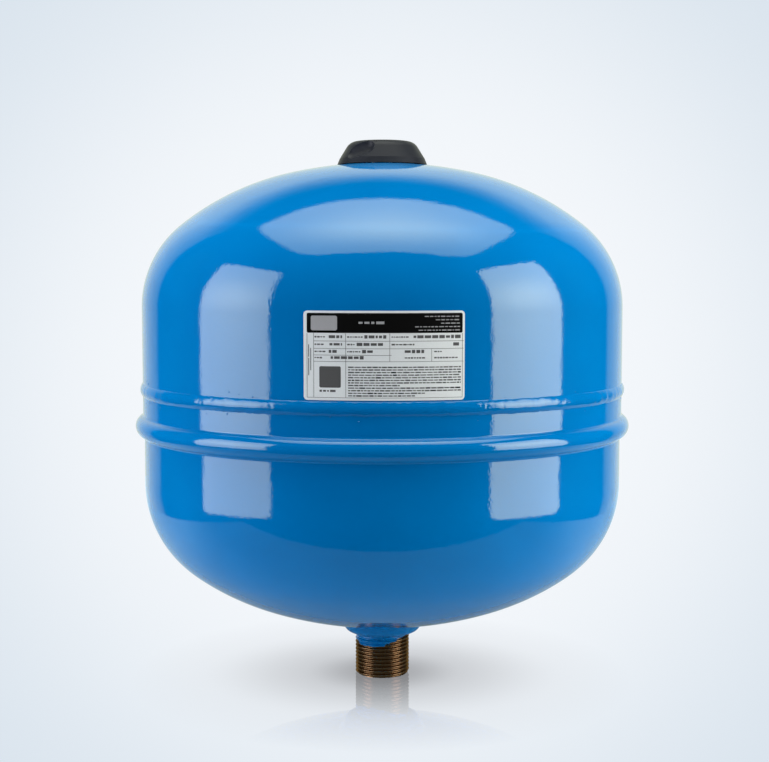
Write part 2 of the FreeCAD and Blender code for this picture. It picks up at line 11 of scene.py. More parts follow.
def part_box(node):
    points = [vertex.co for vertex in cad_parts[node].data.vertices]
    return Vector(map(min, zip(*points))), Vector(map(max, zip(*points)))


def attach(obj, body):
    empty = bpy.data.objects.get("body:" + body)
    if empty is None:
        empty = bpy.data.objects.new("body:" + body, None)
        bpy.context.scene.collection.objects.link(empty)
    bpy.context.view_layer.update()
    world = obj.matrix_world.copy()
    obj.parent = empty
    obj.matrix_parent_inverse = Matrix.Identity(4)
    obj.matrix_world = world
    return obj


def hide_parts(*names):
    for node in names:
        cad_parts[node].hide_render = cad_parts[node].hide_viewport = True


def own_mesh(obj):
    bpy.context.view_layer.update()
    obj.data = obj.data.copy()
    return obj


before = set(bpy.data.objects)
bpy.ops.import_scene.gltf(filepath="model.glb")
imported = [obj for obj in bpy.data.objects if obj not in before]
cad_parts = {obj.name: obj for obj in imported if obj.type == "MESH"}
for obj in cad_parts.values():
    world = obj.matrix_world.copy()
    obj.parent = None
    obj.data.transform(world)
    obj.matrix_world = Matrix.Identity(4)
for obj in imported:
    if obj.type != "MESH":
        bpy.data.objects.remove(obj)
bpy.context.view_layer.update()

MM = 0.001
TURN = 2 * math.pi

# Shells
SHELL_RADIUS = 145.5 * MM
SHELL_WALL = 1.2 * MM
SKIRT_INSET = 0.8 * MM
LOWER_HEAD = dict(height=87.87 * MM, knuckle=66.16 * MM, flattening=1.0554, base=122.12 * MM, up=-1)
UPPER_HEAD = dict(height=87.11 * MM, knuckle=63.45 * MM, flattening=1.1816, base=227.73 * MM, up=1)
LOWER_HOLE = 18.1 * MM
UPPER_HOLE = 5.2 * MM
UPPER_EDGE = 179.9 * MM
LIP_SHOULDER = 177.9 * MM
LIP_STEP = 1.3 * MM
LIP_BEND = 0.4 * MM
LIP_TOP = 190.0 * MM

# Rolled bead
BEAD_LEVEL = 157.1 * MM
BEAD_ARC = 6.5 * MM
# 4.5 mm in the source. The CAD box comes from a mesh whose facets cut the crest, so that the
# full rise would stand up to 0.054 mm past it.
BEAD_RISE = 4.44 * MM
BEAD_TOP_FILLET = 1.5 * MM
BEAD_BOTTOM_FILLET = 1.5 * MM

# Girth weld
WELD_LOW = 175.03 * MM
WELD_HIGH = 182.8 * MM
WELD_CREST = 1.45 * MM
WELD_SINK = 0.25 * MM
WELD_MARGIN = 0.2 * MM
TOE_OVERLAP = 0.15 * MM

# Water connection
THREAD_RADIUS = 16.62 * MM
THREAD_PITCH = 2.309 * MM
THREAD_DEPTH = 1.3 * MM
THREAD_TOP = 25.0 * MM
THREAD_CHAMFER = 1.2 * MM
THREAD_FADE = 1.6 * MM
THREAD_ROW = 0.11 * MM
NECK_RADIUS = 16.2 * MM
NECK_TOP = 26.5 * MM
COLLAR_RADIUS = 23.9 * MM
COLLAR_EDGE = 5.0 * MM
COLLAR_WELD_LEG = 3.0 * MM
SPIGOT_RADIUS = 18.0 * MM
COUNTERBORE_RADIUS = 15.0 * MM
COUNTERBORE_FLOOR = 28.0 * MM
GROOVE = (16.5 * MM, 30.5 * MM, 32.5 * MM)
PORT_RADIUS = 12.5 * MM

# Valve spring
SPRING_TURNS = 5
SPRING_WIRE = 0.18 * MM
SPRING_COIL = 0.925 * MM

# Label
LABEL_WIDTH = 84.9 * MM
LABEL_HEIGHT = 46.5 * MM
LABEL_LOW = 183.5 * MM
LABEL_CORNER = 2.0 * MM
LABEL_INNER = SHELL_RADIUS + 0.025 * MM
LABEL_OUTER = LABEL_INNER + 0.2 * MM
LABEL_TURN = math.radians(0.5)
PRINT_RISE = 0.04 * MM
RULE_WIDTH = 0.2

# View
VIEW_DISTANCE = 910.0 * MM
VIEW_HEIGHT = 255.4 * MM
VIEW_SIDEWAYS = 1.39 * MM
VIEW_TILT = math.radians(4.612)
VIEW_FOCUS = 1483.6
PICTURE_WIDTH = 769

# Studio
SIDE_DISTANCE = 1.3
FILL_DISTANCE = 1.1
FILL_TURN = math.radians(105.0)
TOP_PLACE = (0.05, -0.1, 1.5)
TOP_TARGET = (0.05, -0.1, 0.0)
FLOOR_REACH = 0.9

# Mesh steps
SEGMENTS = 288
WELD_SEGMENTS = 1440
NIPPLE_WELD_SEGMENTS = 360
NIPPLE_SEGMENTS = 216
OUTER_STEPS = (26, 22, 34)
INNER_STEPS = (10, 8, 12)


def polar(centre, radius, angle, up=1):
    """A point at an angle from the axis, in the plane of radius and height."""
    return centre[0] + radius * math.sin(angle), centre[1] + up * radius * math.cos(angle)


def arc(start, end, centre, steps):
    """Points along the shorter arc from start to end, without the start."""
    first = math.atan2(start[1] - centre[1], start[0] - centre[0])
    last = math.atan2(end[1] - centre[1], end[0] - centre[0])
    sweep = (last - first + math.pi) % TURN - math.pi
    radius = math.dist(start, centre)
    points = []
    for step in range(1, steps + 1):
        angle = first + sweep * step / steps
        points.append((centre[0] + radius * math.cos(angle), centre[1] + radius * math.sin(angle)))
    return points


class Head:
    """The dished head of three tangent arcs that the shells share."""

    def __init__(self, radius, height, knuckle, flattening, base, up):
        plain = ((radius - knuckle) ** 2 + height ** 2 - knuckle ** 2) / (2 * (height - knuckle))
        self.crown = flattening * plain
        self.knuckle = knuckle
        self.shoulder = (self.crown + knuckle) / 2
        self.radius, self.base, self.up = radius, base, up
        drop = height - self.crown
        span = math.hypot(radius - knuckle, drop)
        lean = math.atan2(radius - knuckle, -drop)
        bend = math.acos(span / (self.crown - knuckle))
        self.angles = (lean - bend, lean + bend)
        self.crown_centre = (0.0, base + up * drop)
        arm = (self.crown - knuckle) / 2
        self.shoulder_centre = polar(self.crown_centre, arm, self.angles[0], up)
        self.knuckle_centre = (radius - knuckle, base)

    def level(self, radius, offset=0.0):
        """Height of the crown's wall at a radius."""
        return self.crown_centre[1] + self.up * math.sqrt((self.crown - offset) ** 2 - radius ** 2)

    def points(self, start, offset=0.0, steps=OUTER_STEPS):
        """From the start radius out to the rim, on the wall that lies inside by offset."""
        chain = [(start, self.level(start, offset))]
        first, second = self.angles
        ends = (
            (polar(self.crown_centre, self.crown - offset, first, self.up), self.crown_centre),
            (polar(self.shoulder_centre, self.shoulder - offset, second, self.up), self.shoulder_centre),
            ((self.radius - offset, self.base), self.knuckle_centre),
        )
        for (end, centre), count in zip(ends, steps):
            chain += arc(chain[-1], end, centre, count)
        return chain


lower_head = Head(SHELL_RADIUS - SKIRT_INSET, **LOWER_HEAD)
upper_head = Head(SHELL_RADIUS, **UPPER_HEAD)


def mesh_piece(name, vertices, faces, material, body, sharp=35.0):
    """A mesh object with smooth faces and sharp edges, riding on a body."""
    mesh = bpy.data.meshes.new(name)
    mesh.from_pydata(vertices, [], faces)
    mesh.update()
    mesh.shade_smooth()
    mesh.set_sharp_from_angle(angle=math.radians(sharp))
    mesh.materials.append(material)
    piece = bpy.data.objects.new(name, mesh)
    bpy.context.scene.collection.objects.link(piece)
    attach(piece, body)
    return piece


def lathe_grid(rows, segments, place):
    """Vertices and faces of a closed loop of rows turned about the axis."""
    vertices = []
    for row in range(rows):
        for step in range(segments):
            vertices.append(place(row, TURN * step / segments))
    faces = []
    for row in range(rows):
        below = row * segments
        above = (row + 1) % rows * segments
        for step in range(segments):
            after = (step + 1) % segments
            faces.append((below + step, below + after, above + after, above + step))
    return vertices, faces


def lathe(name, loop, material, body, segments=SEGMENTS, shift=None):
    """A ring-shaped piece from a closed loop of (radius, height), counter-clockwise."""
    def place(row, angle):
        radius, height = loop[row]
        if shift:
            radius, height = shift(row, radius, height, angle)
        return radius * math.cos(angle), radius * math.sin(angle), height

    vertices, faces = lathe_grid(len(loop), segments, place)
    return mesh_piece(name, vertices, faces, material, body)


def patch(left, right, low, high, inner, outer, corner=0.0, step=math.radians(1.0)):
    """Vertices and faces of a thin block wrapped about the axis, between two angles from -Y."""
    columns = [left, right]
    corner_angle = corner / outer
    if corner:
        for share in range(1, 7):
            turned = corner_angle * (1 - math.cos(math.pi / 2 * share / 6))
            columns += [left + turned, right - turned]
    count = max(int((right - left - 2 * corner_angle) / step), 1)
    for index in range(1, count):
        columns.append(left + corner_angle + (right - left - 2 * corner_angle) * index / count)
    columns = sorted(set(columns))
    vertices, faces = [], []
    for angle in columns:
        depth = max(corner_angle - min(angle - left, right - angle), 0.0) * outer
        drop = corner - math.sqrt(max(corner ** 2 - depth ** 2, 0.0))
        for radius, height in (
            (inner, low + drop), (outer, low + drop), (outer, high - drop), (inner, high - drop)
        ):
            vertices.append((radius * math.sin(angle), -radius * math.cos(angle), height))
    for index in range(len(columns) - 1):
        a, b = index * 4, index * 4 + 4
        for side in range(4):
            after = (side + 1) % 4
            faces.append((a + side, b + side, b + after, a + after))
    end = (len(columns) - 1) * 4
    faces.append((0, 1, 2, 3))
    faces.append((end + 3, end + 2, end + 1, end))
    return vertices, faces


def fan(spokes, rings, cap=None):
    """Faces of rings of vertices around vertex 0, closed by the vertex cap if there is one."""
    faces = []
    for spoke in range(spokes):
        after = (spoke + 1) % spokes
        faces.append((0, 1 + spoke, 1 + after))
        for ring in range(rings - 1):
            low, high = 1 + ring * spokes, 1 + (ring + 1) * spokes
            faces.append((low + spoke, high + spoke, high + after, low + after))
        if cap is not None:
            low = 1 + (rings - 1) * spokes
            faces.append((low + spoke, cap, low + after))
    return faces


def merged(parts):
    """One list of vertices and one of faces from several."""
    vertices, faces = [], []
    for some, quads in parts:
        start = len(vertices)
        vertices += some
        faces += [tuple(start + index for index in quad) for quad in quads]
    return vertices, faces


# Materials
class Graph:
    """A node tree, and short calls to add nodes to it."""

    def __init__(self, tree):
        self.tree = tree

    def add(self, kind, **values):
        node = self.tree.nodes.new("ShaderNode" + kind)
        for key, value in values.items():
            setattr(node, key, value)
        return node

    def link(self, source, target):
        self.tree.links.new(source, target)

    def feed(self, value, socket):
        """Sets a socket to a plain value, or links it to what gives one."""
        if isinstance(value, (int, float, tuple)):
            socket.default_value = value
        else:
            self.link(value, socket)

    def math(self, operation, first, second=0.0):
        node = self.add("Math", operation=operation)
        self.feed(first, node.inputs[0])
        self.feed(second, node.inputs[1])
        return node.outputs[0]

    def vector(self, operation, *values):
        node = self.add("VectorMath", operation=operation)
        for value, socket in zip(values, node.inputs):
            self.feed(value, socket)
        return node

    def spread(self, source, low, high, low_out=0.0, high_out=1.0, soft=False):
        """Maps the range from low to high onto another one, in a straight or a soft way."""
        node = self.add("MapRange", interpolation_type="SMOOTHSTEP" if soft else "LINEAR")
        ends = {"From Min": low, "From Max": high, "To Min": low_out, "To Max": high_out}
        for socket, value in ends.items():
            node.inputs[socket].default_value = value
        self.link(source, node.inputs["Value"])
        return node.outputs["Result"]

    def axes(self, source):
        node = self.add("SeparateXYZ")
        self.link(source, node.inputs[0])
        return node.outputs

    def blend(self, factor, first, second):
        node = self.add("Mix", data_type="RGBA")
        self.link(factor, node.inputs["Factor"])
        for socket, value in ((node.inputs[6], first), (node.inputs[7], second)):
            self.feed((*value, 1.0) if isinstance(value, tuple) else value, socket)
        return node.outputs[2]

    def mixed(self, factor, first, second):
        node = self.add("MixShader")
        for socket, source in zip(node.inputs, (factor, first, second)):
            self.link(source, socket)
        return node.outputs[0]


class Nodes(Graph):
    """A new material with its Principled shader."""

    def __init__(self, name, color, roughness, metallic=0.0, **settings):
        self.material = bpy.data.materials.new(name)
        self.material.use_nodes = True
        super().__init__(self.material.node_tree)
        self.shader = self.tree.nodes["Principled BSDF"]
        self.put("Base Color", (*color, 1.0))
        self.put("Roughness", roughness)
        self.put("Metallic", metallic)
        for key, value in settings.items():
            self.put(key.replace("_", " "), value)

    def put(self, socket, value):
        self.shader.inputs[socket].default_value = value

    def place(self):
        return self.add("TexCoord").outputs["Object"]

    def noise(self, scale, detail=2.0, rough=0.5, source=None):
        node = self.add("TexNoise")
        node.inputs["Scale"].default_value = scale
        node.inputs["Detail"].default_value = detail
        node.inputs["Roughness"].default_value = rough
        self.link(source or self.place(), node.inputs["Vector"])
        return node.outputs["Fac"]

    def bump(self, height, strength, distance, over=None):
        node = self.add("Bump")
        node.inputs["Strength"].default_value = strength
        node.inputs["Distance"].default_value = distance
        self.link(height, node.inputs["Height"])
        if over:
            self.link(over, node.inputs["Normal"])
        return node.outputs["Normal"]

    def set(self, socket, source):
        self.link(source, self.shader.inputs[socket])


BLUE = (0.0, 0.168, 0.485)


def blue_coat(name, extra_bump=0.0):
    """Glossy powder coat: fine orange peel over a slightly wavy drawn sheet."""
    nodes = Nodes(name, BLUE, 0.05, IOR=1.62, Specular_Tint=(0.95, 1.0, 0.7, 1.0))
    wave = nodes.noise(34.0, 1.0, 0.4)
    tone = nodes.spread(wave, 0.3, 0.7)
    nodes.set("Base Color", nodes.blend(tone, (0.0, 0.164, 0.475), (0.0, 0.172, 0.495)))
    nodes.set("Roughness", nodes.spread(nodes.noise(140.0, 2.0), 0.3, 0.7, 0.03, 0.05))
    normal = nodes.bump(wave, 1.0, 0.0001)
    normal = nodes.bump(nodes.noise(90.0, 1.0, 0.5), 1.0, 0.00005, normal)
    normal = nodes.bump(nodes.noise(880.0, 0.0), 1.0, 0.00002, normal)
    if extra_bump:
        normal = nodes.bump(nodes.noise(900.0, 3.0, 0.6), extra_bump, 0.0002, normal)
    nodes.set("Normal", normal)
    return nodes.material


def nipple_metal():
    """Bronze-coloured plated steel, with painted shade in the thread's grooves, and the coat's uneven
    lower edge.
    """
    nodes = Nodes("nipple_metal", (0.42, 0.26, 0.13), 0.3, Specular_Tint=(0.4, 0.38, 0.36, 1.0))
    place = nodes.place()
    axes = nodes.axes(place)
    sideways, height = axes["X"], axes["Z"]
    rise = nodes.spread(sideways, -0.003, 0.016, 0.0193, 0.0255)
    corner = nodes.spread(sideways, -0.0165, -0.011, 0.0016, 0.0, True)
    wobble = nodes.spread(nodes.noise(220.0, 2.0), 0.3, 0.7, -0.0006, 0.0006)
    edge = nodes.math("ADD", nodes.math("ADD", rise, corner), wobble)
    above = nodes.math("SUBTRACT", height, edge)
    painted = nodes.spread(above, -0.00015, 0.00015)
    tarnish = nodes.spread(nodes.noise(70.0, 2.0, 0.5), 0.35, 0.65)
    metal = nodes.blend(tarnish, (0.37, 0.215, 0.105), (0.27, 0.152, 0.072))
    # Painted shade: the base colour turns darker below the crest, down into the thread's grooves.
    reach = nodes.vector("LENGTH", nodes.vector("MULTIPLY", place, (1.0, 1.0, 0.0)).outputs[0])
    crest = nodes.spread(reach.outputs["Value"], 0.0154, 0.0165)
    metal = nodes.blend(crest, (0.25, 0.142, 0.068), metal)
    nodes.set("Base Color", nodes.blend(painted, metal, (0.0, 0.155, 0.42)))
    nodes.set("Metallic", nodes.spread(painted, 0.0, 1.0, 1.0, 0.0))
    nodes.set("Roughness", nodes.spread(tarnish, 0.0, 1.0, 0.22, 0.3))
    normal = nodes.bump(nodes.noise(1500.0, 2.0, 0.6), 0.1, 0.00005)
    nodes.set("Normal", nodes.bump(painted, 0.5, 0.00012, normal))
    return nodes.material


def plain_metal(name, color, roughness, grain=900.0):
    """Bare metal with a fine uneven tone."""
    nodes = Nodes(name, color, roughness, 1.0)
    speck = nodes.noise(grain, 3.0, 0.6)
    darker = tuple(channel * 0.8 for channel in color)
    nodes.set("Base Color", nodes.blend(nodes.spread(speck, 0.35, 0.7), color, darker))
    nodes.set("Roughness", nodes.spread(speck, 0.3, 0.7, roughness * 0.85, roughness * 1.2))
    nodes.set("Normal", nodes.bump(speck, 0.1, 0.00005))
    return nodes.material


def moulded(name, color, roughness, lighter=1.3, **settings):
    """Plastic or rubber with a fine moulded grain."""
    nodes = Nodes(name, color, roughness, **settings)
    grain = nodes.noise(2600.0, 2.0, 0.5)
    cloud = nodes.noise(90.0, 2.0, 0.5)
    light = tuple(min(channel * lighter, 1.0) for channel in color)
    nodes.set("Base Color", nodes.blend(nodes.spread(cloud, 0.3, 0.7), color, light))
    nodes.set("Roughness", nodes.spread(cloud, 0.3, 0.7, roughness * 0.9, roughness * 1.15))
    nodes.set("Normal", nodes.bump(grain, 0.18, 0.00006))
    return nodes.material


def film(name, color, roughness, **settings):
    """Flat film or printed ink."""
    nodes = Nodes(name, color, roughness, **settings)
    grain = nodes.noise(1800.0, 2.0, 0.5)
    darker = tuple(channel * 0.95 for channel in color)
    nodes.set("Base Color", nodes.blend(nodes.spread(grain, 0.3, 0.7), color, darker))
    nodes.set("Roughness", nodes.spread(grain, 0.3, 0.7, roughness * 0.9, roughness * 1.1))
    return nodes.material


coat = blue_coat("blue_coat")
weld_coat = blue_coat("blue_coat_on_weld", 0.25)
bronze = nipple_metal()
black = moulded("black_plastic", (0.0122, 0.0135, 0.0185), 0.42, Specular_IOR_Level=0.18)
spring_wire = plain_metal("spring_wire", (0.55, 0.55, 0.56), 0.25, 1800.0)
label_film = film("label_film", (0.85, 0.885, 0.885), 0.38)
ink = film("dark_print", (0.004, 0.004, 0.004), 0.5, Specular_IOR_Level=0.06)
grey_ink = film("grey_print", (0.1, 0.1, 0.1), 0.4, Specular_IOR_Level=0.3)
pale_ink = film("pale_print", (0.4, 0.4, 0.41), 0.4, Specular_IOR_Level=0.3)


# Shells
def upper_shell():
    """Deep-drawn dome and cylinder, open at the valve's hole and below."""
    outer = upper_head.points(UPPER_HOLE)
    inner = upper_head.points(UPPER_HOLE, SHELL_WALL, INNER_STEPS)
    loop = outer + [(SHELL_RADIUS, UPPER_EDGE), (SHELL_RADIUS - SHELL_WALL, UPPER_EDGE)] + inner[::-1]
    piece = lathe("upper_shell_coated", loop[::-1], coat, "tank")
    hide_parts("upper_shell")


def bead_points(offset, steps):
    """The rolled bead's wall, from the skirt up to the mouth."""
    arc_centre = (SHELL_RADIUS + BEAD_RISE - BEAD_ARC, BEAD_LEVEL)

    def fillet_centre(wall, fillet, side):
        radius = wall + fillet
        rise = math.sqrt((BEAD_ARC + fillet) ** 2 - (radius - arc_centre[0]) ** 2)
        return radius, BEAD_LEVEL + side * rise

    def touch(fillet):
        share = (BEAD_ARC - offset) / math.dist(arc_centre, fillet)
        return (
            arc_centre[0] + (fillet[0] - arc_centre[0]) * share,
            arc_centre[1] + (fillet[1] - arc_centre[1]) * share,
        )

    skirt = SHELL_RADIUS - SKIRT_INSET
    bottom = fillet_centre(skirt, BEAD_BOTTOM_FILLET, -1)
    top = fillet_centre(SHELL_RADIUS, BEAD_TOP_FILLET, 1)
    chain = [(skirt - offset, bottom[1])]
    chain += arc(chain[-1], touch(bottom), bottom, steps)
    chain += arc(chain[-1], touch(top), arc_centre, steps * 4)
    chain += arc(chain[-1], (SHELL_RADIUS - offset, top[1]), top, steps)
    return chain


def lip_points(offset):
    """The mouth's joggle, which steps in under the upper shell."""
    outer_bend = SHELL_WALL + LIP_BEND
    reach = outer_bend + LIP_BEND
    angle = math.acos(1 - LIP_STEP / reach)
    start = LIP_SHOULDER - reach * math.sin(angle)
    convex = (SHELL_RADIUS - outer_bend, start)
    concave = (convex[0] + reach * math.cos(angle), LIP_SHOULDER)
    radius = outer_bend - offset
    middle = (convex[0] + radius * math.cos(angle), start + radius * math.sin(angle))
    chain = [(SHELL_RADIUS - offset, start)]
    chain += arc(chain[-1], middle, convex, 5)
    chain += arc(chain[-1], (SHELL_RADIUS - LIP_STEP - offset, LIP_SHOULDER), concave, 5)
    return chain


def lower_shell():
    """Deep-drawn bowl with the rolled bead and the stepped-in lip."""
    def face(offset, head_steps, bead_steps):
        chain = lower_head.points(LOWER_HOLE, offset, head_steps) + bead_points(offset, bead_steps)
        return chain + lip_points(offset) + [(SHELL_RADIUS - LIP_STEP - offset, LIP_TOP)]

    outer = face(0.0, OUTER_STEPS, 8)
    inner = face(SHELL_WALL, INNER_STEPS, 4)
    piece = lathe("lower_shell_coated", outer + inner[::-1], coat, "tank")
    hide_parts("lower_shell")


# Welds
def girth_weld():
    """Weld bead with fine ripples along it, a wandering crest and uneven toes."""
    half = (WELD_HIGH - WELD_LOW) / 2
    middle = WELD_LOW + half
    steps = 18
    loop = [(SHELL_RADIUS - WELD_SINK, WELD_LOW - WELD_MARGIN)]
    for step in range(steps + 1):
        share = -1 + 2 * step / steps
        loop.append((SHELL_RADIUS + WELD_CREST * (1 - share ** 2), middle + half * share))
    loop.append((SHELL_RADIUS - WELD_SINK, WELD_HIGH + WELD_MARGIN))
    loop.append((SHELL_RADIUS - LIP_STEP, UPPER_EDGE))
    loop.append((SHELL_RADIUS - LIP_STEP, LIP_SHOULDER))

    def shift(row, radius, height, angle):
        if radius < SHELL_RADIUS - WELD_SINK / 2:
            return radius, height
        share = (height - middle) / half
        crown = max(1 - share ** 2, 0.0)
        around = Vector((math.cos(angle), math.sin(angle), 0.0))
        wander = noise.noise(around * 9.0) * 0.45 * MM
        toe = noise.noise(Vector((around.x * 55, around.y * 55, 2.0 if share < 0 else 9.0))) * 0.3 * MM
        swell = 1 + 0.12 * noise.noise(around * 26.0 + Vector((3, 1, 7)))
        ripple = noise.noise(Vector((around.x * 70, around.y * 70, share * 1.4))) * 0.09 * MM
        lumps = noise.noise(Vector((around.x * 210, around.y * 210, share * 3.0))) * 0.035 * MM
        lean = wander * (0.35 + 0.65 * crown) + toe * (1 - crown)
        return radius + (ripple + lumps) * crown + (swell - 1) * WELD_CREST * crown, height + lean

    piece = lathe("girth_weld_bead", loop, weld_coat, "tank", WELD_SEGMENTS, shift)
    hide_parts("girth_weld")


def weld_spatter():
    """Small painted-over specks on both sides of the girth weld.

    Those above the weld are left out at the back. That test was meant for the label, at -Y, where
    two specks lie inside the film instead.
    """
    draw = random.Random(11)
    flatness = 0.65
    rings, spokes = 4, 10
    parts = []
    for _ in range(70):
        angle = draw.uniform(0, TURN)
        side = draw.choice((-1, 1))
        height = (WELD_LOW if side < 0 else WELD_HIGH) + side * draw.uniform(0.2, 3.2) * MM
        if side > 0 and math.cos(angle + math.pi / 2) < -0.94:
            continue
        size = draw.uniform(0.22, 0.6) * MM
        outward = Vector((math.cos(angle), math.sin(angle), 0))
        along = Vector((-math.sin(angle), math.cos(angle), 0))
        centre = outward * (SHELL_RADIUS - 0.15 * size) + Vector((0, 0, height))
        vertices = [tuple(centre + outward * size * flatness)]
        for ring in range(1, rings + 1):
            bend = math.pi / 2 * ring / rings
            for spoke in range(spokes):
                turn = TURN * spoke / spokes
                sideways = along * math.cos(turn) + Vector((0, 0, 1)) * math.sin(turn)
                vertices.append(tuple(
                    centre + sideways * size * math.sin(bend)
                    + outward * size * flatness * math.cos(bend)
                ))
        vertices.append(tuple(centre - outward * size * 0.2))
        parts.append((vertices, fan(spokes, rings, len(vertices) - 1)))
    piece = mesh_piece("weld_spatter", *merged(parts), weld_coat, "tank", 60.0)


def nipple_weld():
    """Fillet weld around the collar, slightly rippled."""
    seat = lower_head.level(COLLAR_RADIUS)
    toe = COLLAR_RADIUS + COLLAR_WELD_LEG
    low = (COLLAR_RADIUS - TOE_OVERLAP, seat - COLLAR_WELD_LEG)
    high = (toe, lower_head.level(toe) + TOE_OVERLAP)
    steps = 10
    loop = []
    for step in range(steps + 1):
        share = step / steps
        bulge = 0.35 * MM * math.sin(math.pi * share)
        loop.append((
            low[0] + (high[0] - low[0]) * share + bulge * 0.7,
            low[1] + (high[1] - low[1]) * share - bulge * 0.7,
        ))
    loop.append((COLLAR_RADIUS - TOE_OVERLAP, seat + TOE_OVERLAP))

    def shift(row, radius, height, angle):
        if row in (0, steps + 1):
            return radius, height
        around = Vector((math.cos(angle), math.sin(angle), row * 0.08))
        ripple = noise.noise(Vector((around.x * 16, around.y * 16, around.z))) * 0.28 * MM
        return radius + ripple * 0.6, height - ripple * 0.6

    piece = lathe("nipple_weld_bead", loop, weld_coat, "tank", NIPPLE_WELD_SEGMENTS, shift)
    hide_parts("nipple_weld")


# Water connection
def nipple():
    """Turned nipple with its helical pipe thread, collar, spigot and stepped bore."""
    count = int(THREAD_TOP / THREAD_ROW)
    rows = [(THREAD_RADIUS, THREAD_TOP * index / count, True) for index in range(count + 1)]
    seat = lower_head.level(COLLAR_RADIUS)
    collar_centre = (COLLAR_RADIUS - COLLAR_EDGE, NECK_TOP + COLLAR_EDGE)
    outline = [(NECK_RADIUS, THREAD_TOP + 0.4 * MM), (NECK_RADIUS, NECK_TOP)]
    outline += [(COLLAR_RADIUS - COLLAR_EDGE, NECK_TOP)]
    outline += arc(outline[-1], (COLLAR_RADIUS, NECK_TOP + COLLAR_EDGE), collar_centre, 20)
    outline += [(COLLAR_RADIUS, seat), (SPIGOT_RADIUS, lower_head.level(SPIGOT_RADIUS))]
    spigot_top = lower_head.level(COUNTERBORE_RADIUS, SHELL_WALL)
    groove_radius, groove_low, groove_high = GROOVE
    outline += [(SPIGOT_RADIUS, spigot_top), (COUNTERBORE_RADIUS, spigot_top)]
    outline += [(COUNTERBORE_RADIUS, groove_high), (groove_radius, groove_high)]
    outline += [(groove_radius, groove_low), (COUNTERBORE_RADIUS, groove_low)]
    outline += [(COUNTERBORE_RADIUS, COUNTERBORE_FLOOR), (PORT_RADIUS, COUNTERBORE_FLOOR)]
    outline += [(PORT_RADIUS, 0.0)]
    rows += [(radius, height, False) for radius, height in outline]

    def place(row, angle):
        radius, height, threaded = rows[row]
        if threaded:
            phase = (height / THREAD_PITCH - angle / TURN) % 1.0
            flank = min(max((abs(2 * phase - 1) - 0.12) / 0.76, 0.0), 1.0)
            cut = 1 - flank * flank * (3 - 2 * flank)
            fade = min(max((THREAD_TOP - height) / THREAD_FADE, 0.0), 1.0)
            radius = THREAD_RADIUS - THREAD_DEPTH * cut * fade - (THREAD_RADIUS - NECK_RADIUS) * (1 - fade)
            radius = min(radius, THREAD_RADIUS - THREAD_CHAMFER + height)
        return radius * math.cos(angle), radius * math.sin(angle), height

    vertices, faces = lathe_grid(len(rows), NIPPLE_SEGMENTS, place)
    piece = mesh_piece("threaded_nipple", vertices, faces, bronze, "tank", 70.0)
    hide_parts("water_nipple")


# Air valve
def core_spring():
    """Round wire coil over the height of the modelled spring; the real one shortens as the valve's pin is
    pressed.
    """
    low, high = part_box("core_spring")
    length = high[2] - low[2]
    steps, sides = 40 * SPRING_TURNS, 12
    vertices = []
    for step in range(steps + 1):
        angle = TURN * SPRING_TURNS * step / steps
        height = low[2] + SPRING_WIRE + (length - 2 * SPRING_WIRE) * step / steps
        for side in range(sides):
            turn = TURN * side / sides
            radius = SPRING_COIL + SPRING_WIRE * math.cos(turn)
            vertices.append((
                radius * math.cos(angle), radius * math.sin(angle), height + SPRING_WIRE * math.sin(turn)
            ))
    faces = []
    for step in range(steps):
        for side in range(sides):
            near, far = step * sides, (step + 1) * sides
            after = (side + 1) % sides
            faces.append((near + side, far + side, far + after, near + after))
    faces.append(tuple(range(sides)))
    faces.append(tuple(steps * sides + side for side in reversed(range(sides))))
    piece = mesh_piece("valve_spring", vertices, faces, spring_wire, "tank", 60.0)
    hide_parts("core_spring")
    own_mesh(piece)


